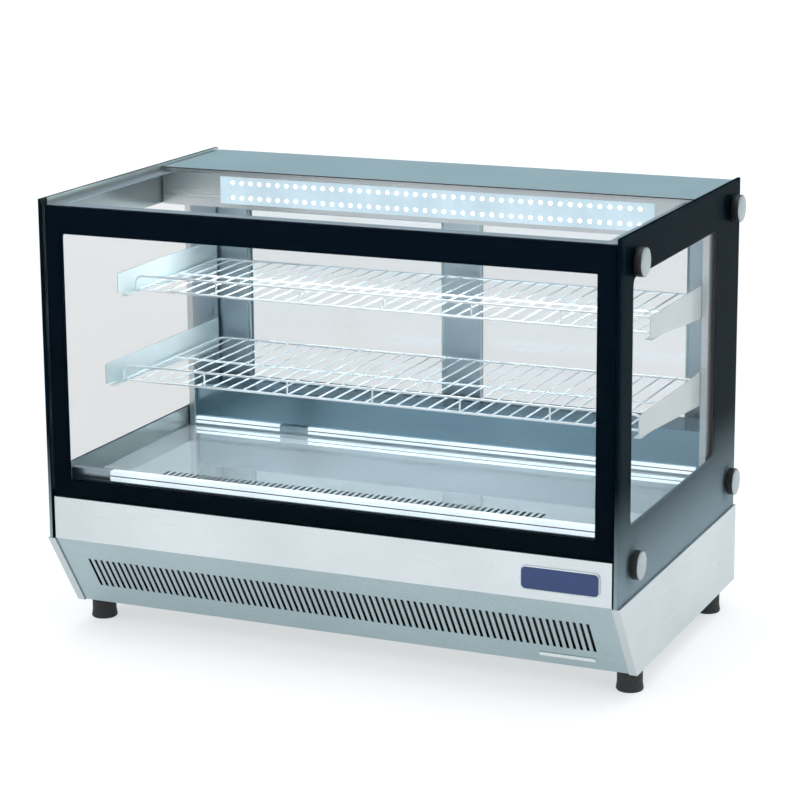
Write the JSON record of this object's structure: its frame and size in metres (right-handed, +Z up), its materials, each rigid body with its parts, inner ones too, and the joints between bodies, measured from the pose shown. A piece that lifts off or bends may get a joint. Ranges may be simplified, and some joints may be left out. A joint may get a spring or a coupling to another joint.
{
  "type": "hot food display case",
  "caption": "Counter-top glazed food display case with a louvred steel base, wire shelves, light bars and sliding rear doors.",
  "frame": {"origin": "on the counter surface, below the middle of the case", "axes": "+X to the right seen from the front, +Y to the back (staff side with the sliding doors), +Z up"},
  "size_m": [0.9246, 0.56, 0.669],
  "materials": {
    "satin_steel": "satin brushed stainless",
    "mirror_steel": "polished",
    "aluminium": "satin anodised",
    "chrome_wire": "bright plated wire",
    "black_border": "glossy black behind glass",
    "glass": "clear tempered",
    "rubber": "matt",
    "light": "lit diffuser",
    "plaque": "gloss",
    "white_plate": "matt",
    "black_plastic": "fine texture",
    "red_plastic": "gloss",
    "motor_metal": "dark enamel"
  },
  "bodies": {
    "root": {"base_pan": "satin_steel", "base_side_left": "satin_steel", "base_side_right": "satin_steel", "front_panel": "satin_steel", "rear_panel": "satin_steel", "rear_riser": "satin_steel", "rear_header": "satin_steel", "arm_upper_left": "satin_steel", "arm_upper_right": "satin_steel", "arm_lower_left": "satin_steel", "arm_lower_right": "satin_steel", "air_duct": "satin_steel", "fan_shroud": "satin_steel", "control_box": "satin_steel", "cap_nut_left_top_front": "satin_steel", "cap_nut_left_top_rear": "satin_steel", "cap_nut_left_bottom_front": "satin_steel", "cap_nut_left_bottom_rear": "satin_steel", "cap_nut_right_top_front": "satin_steel", "cap_nut_right_top_rear": "satin_steel", "cap_nut_right_bottom_front": "satin_steel", "cap_nut_right_bottom_rear": "satin_steel", "deck_panel": "mirror_steel", "door_track_lower": "aluminium", "door_track_upper": "aluminium", "top_border": "aluminium", "pilaster_left": "aluminium", "pilaster_right": "aluminium", "front_glass_border": "black_border", "side_glass_left_border": "black_border", "side_glass_right_border": "black_border", "top_glass": "glass", "front_glass_outer": "glass", "front_glass_inner": "glass", "side_glass_left_outer": "glass", "side_glass_left_inner": "glass", "side_glass_right_outer": "glass", "side_glass_right_inner": "glass", "foot_front_left": "rubber", "foot_front_right": "rubber", "foot_rear_left": "rubber", "foot_rear_right": "rubber", "led_board_top": "light", "led_bar_front": "light", "led_bar_rear": "light", "badge": "plaque", "blank_plate": "white_plate", "led_driver": "black_plastic", "cable_gland": "black_plastic", "fan_motor": "motor_metal", "heating_element": "motor_metal"},
    "door_left": {"door_frame_left": "aluminium", "door_glass_left": "glass"},
    "door_right": {"door_frame_right": "aluminium", "door_glass_right": "glass"},
    "fan_rotor": {"fan_rotor": "black_plastic"},
    "thermostat_knob": {"thermostat_knob": "black_plastic"},
    "power_switch": {"power_switch": "red_plastic"},
    "shelf_upper": {"shelf_upper": "chrome_wire"},
    "shelf_lower": {"shelf_lower": "chrome_wire"}
  },
  "joints": [
    {"name": "door_left_slide", "type": "slide", "parent": "root", "child": "door_left", "axis": [1, 0, 0], "range_m": [0, 0.39]},
    {"name": "door_right_slide", "type": "slide", "parent": "root", "child": "door_right", "axis": [1, 0, 0], "range_m": [-0.39, 0]},
    {"name": "fan_spin", "type": "hinge", "parent": "root", "child": "fan_rotor", "pos_m": [0, 0.01, 0.173], "axis": [0, 1, 0], "continuous": true},
    {"name": "thermostat_turn", "type": "hinge", "parent": "root", "child": "thermostat_knob", "pos_m": [0.25, 0.2623, 0.074], "axis": [0, 1, 0], "range_deg": [0, 270]},
    {"name": "power_switch_rock", "type": "hinge", "parent": "root", "child": "power_switch", "pos_m": [0.335, 0.263, 0.074], "axis": [1, 0, 0], "range_deg": [0, 14]},
    {"name": "shelf_upper_lift", "type": "slide", "parent": "root", "child": "shelf_upper", "axis": [0, 0, 1], "range_m": [0, 0.025]},
    {"name": "shelf_lower_lift", "type": "slide", "parent": "root", "child": "shelf_lower", "axis": [0, 0, 1], "range_m": [0, 0.025]}
  ]
}
